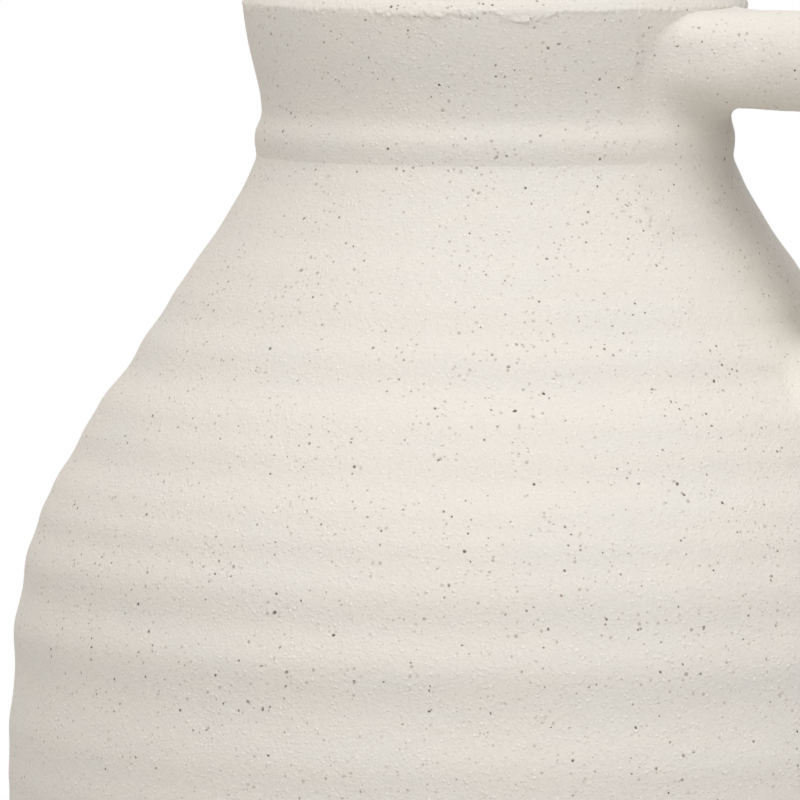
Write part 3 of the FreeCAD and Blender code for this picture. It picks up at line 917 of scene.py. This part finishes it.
def speckled_slip():
    return speckled_finish(
        "speckled_slip",
        ground=linear(234, 229, 221), warm=linear(235, 229, 221), cool=linear(232, 229, 222),
        speck_dark=linear(74, 62, 52), speck_brown=linear(146, 120, 100), white_grain=linear(250, 246, 237),
        sand_height=1.2 * MM, roughness=0.95)


def bare_clay():
    return speckled_finish(
        "bare_clay",
        ground=linear(216, 204, 186), warm=linear(220, 205, 186), cool=linear(211, 202, 186),
        speck_dark=linear(66, 52, 42), speck_brown=linear(138, 104, 78), white_grain=linear(236, 228, 214),
        sand_height=1.4 * MM, roughness=1.0)


# The studio: a plain pale floor, soft light from above and in front, and the camera

WHITE = (1, 1, 1, 1)
# Soft warm light all round, with whiter lamps in it and a dark corner: degrees to the right of the view,
# degrees up, how narrow and how bright
LIGHT_LEVEL = 0.295
LIGHT_WARMTH = (1.07, 1, 0.92, 1)
LIGHTS = [(-34, 40, 8, 1.6), (45, 40, 8, 2.2), (0, 90, 8, 0.9), (-168, 30, 8, 1.0)]
DARK_CORNER = (100, 15, 2.2, -1.1)
DIMMEST = 0.02
# The floor's tone in the light that it sends to the jug and in the camera's view, and how far out it is white
FLOOR_REACH = 3.0
FLOOR_SIDES = 96
FLOOR_SHADE = (0.57, 0.57, 0.57, 1)
FLOOR_SHOWN = (0.8, 0.8, 0.8, 1)
SHADOW_ENDS = (0.26, 0.8)


def background_ray(recipe):
    """1 for a ray that shows the background: from the camera, or off or through a shiny thing."""
    rays = recipe.node("ShaderNodeLightPath")
    camera, glossy, through = recipe.outputs(rays, "Is Camera Ray", "Is Glossy Ray", "Is Transmission Ray")
    return camera.at_least(glossy).at_least(through)


def glow(recipe, direction, right, up, narrowness, brightness):
    """A soft round spot in the light round the jug."""
    towards = TOWARD_VIEW * math.cos(math.radians(right)) + RIGHT_OF_VIEW * math.sin(math.radians(right))
    towards = towards * math.cos(math.radians(up)) + Vector((0, 0, math.sin(math.radians(up))))
    nearness = recipe.node("ShaderNodeVectorMath", {"operation": "DOT_PRODUCT"}, {0: direction, 1: towards},
                           out="Value")
    return nearness.at_least(0) ** narrowness * brightness


def make_light():
    world = bpy.data.worlds.new("soft_studio")
    bpy.context.scene.world = world
    recipe = Recipe(world)
    direction = recipe.node("ShaderNodeTexCoord", out="Generated")
    around = (glow(recipe, direction, *DARK_CORNER) + LIGHT_LEVEL).at_least(DIMMEST)
    lamps = glow(recipe, direction, *LIGHTS[0])
    for light in LIGHTS[1:]:
        lamps += glow(recipe, direction, *light)
    strength = around + lamps
    colour = recipe.mix(lamps / strength, LIGHT_WARMTH, WHITE)
    soft = recipe.node("ShaderNodeBackground", {}, {"Color": colour, "Strength": strength})
    plain = recipe.node("ShaderNodeBackground", {}, {"Color": WHITE, "Strength": 1})
    both = recipe.node("ShaderNodeMixShader", {}, {0: background_ray(recipe), 1: soft, 2: plain})
    recipe.node("ShaderNodeOutputWorld", {}, {"Surface": both})


def make_floor():
    material = bpy.data.materials.new("pale_floor")
    recipe = Recipe(material)
    background = background_ray(recipe)
    place = recipe.node("ShaderNodeTexCoord", out="Object")
    distance = recipe.node("ShaderNodeVectorMath", {"operation": "LENGTH"}, {0: place}, out="Value")
    shade = recipe.node("ShaderNodeBsdfDiffuse", {}, {"Color": FLOOR_SHADE})
    surface = recipe.node("ShaderNodeBsdfDiffuse", {}, {"Color": FLOOR_SHOWN})
    white = recipe.node("ShaderNodeEmission", {}, {"Color": WHITE, "Strength": 1})
    near = recipe.node("ShaderNodeMixShader", {}, {0: distance.between(*SHADOW_ENDS), 1: surface, 2: white})
    both = recipe.node("ShaderNodeMixShader", {}, {0: background, 1: shade, 2: near})
    recipe.node("ShaderNodeOutputMaterial", {}, {"Surface": both})

    shape = bmesh.new()
    bmesh.ops.create_circle(shape, cap_ends=True, segments=FLOOR_SIDES, radius=FLOOR_REACH)
    floor = add_object("studio_floor", shape, material)


def make_camera():
    data = bpy.data.cameras.new("camera")
    data.lens = VIEW_LENS
    data.sensor_width = SENSOR_WIDTH
    data.clip_end = FARTHEST_SEEN
    camera = bpy.data.objects.new("camera", data)
    bpy.context.scene.collection.objects.link(camera)
    target = Vector((0, 0, RIM - VIEW_CENTRE_DEPTH)) - RIGHT_OF_VIEW * VIEW_CENTRE_LEFT
    rise = VIEW_RISE + VIEW_CENTRE_DEPTH
    level_reach = math.sqrt(VIEW_DISTANCE ** 2 - rise ** 2)
    camera.location = target + TOWARD_VIEW * level_reach + Vector((0, 0, rise))
    camera.rotation_euler = (target - camera.location).to_track_quat("-Z", "Y").to_euler()
    bpy.context.scene.camera = camera


def make_jug():
    slip = speckled_slip()
    clay = bare_clay()

    def slipped(name, shape, node):
        make_piece(name, shape, slip, "speckled_slip", node)

    make_piece("turned_floor", turned_floor(), clay, "bare_clay", "floor_disc")
    slipped("thrown_lower_wall", dent_wall(wall_section(WAIST, FLOOR_TOP)), "lower_wall")
    slipped("thrown_shoulder", dent_wall(wall_section(NECK_FOOT, WAIST)), "shoulder_wall")
    slipped("thrown_collar", dent_wall(wall_section(LIP_FOOT, BEAD_TOP)), "neck_collar")
    slipped("pressed_bead", dent_wall(wall_section(BEAD_TOP, NECK_FOOT)), "neck_bead")
    slipped("torn_lip", tear_lip(turned(lip_outline(), LIP_STEPS)), "lip_coil")
    slipped("pulled_handle", pulled_handle(), "handle")
    slipped("upper_root_clay", root_clay(*UPPER_PATCH, to_nearest), "upper_handle_wad")
    slipped("lower_root_clay", root_clay(*LOWER_PATCH, straight_out), "lower_handle_wad")


bpy.context.scene.view_settings.view_transform = "Standard"
make_jug()
make_light()
make_floor()
make_camera()
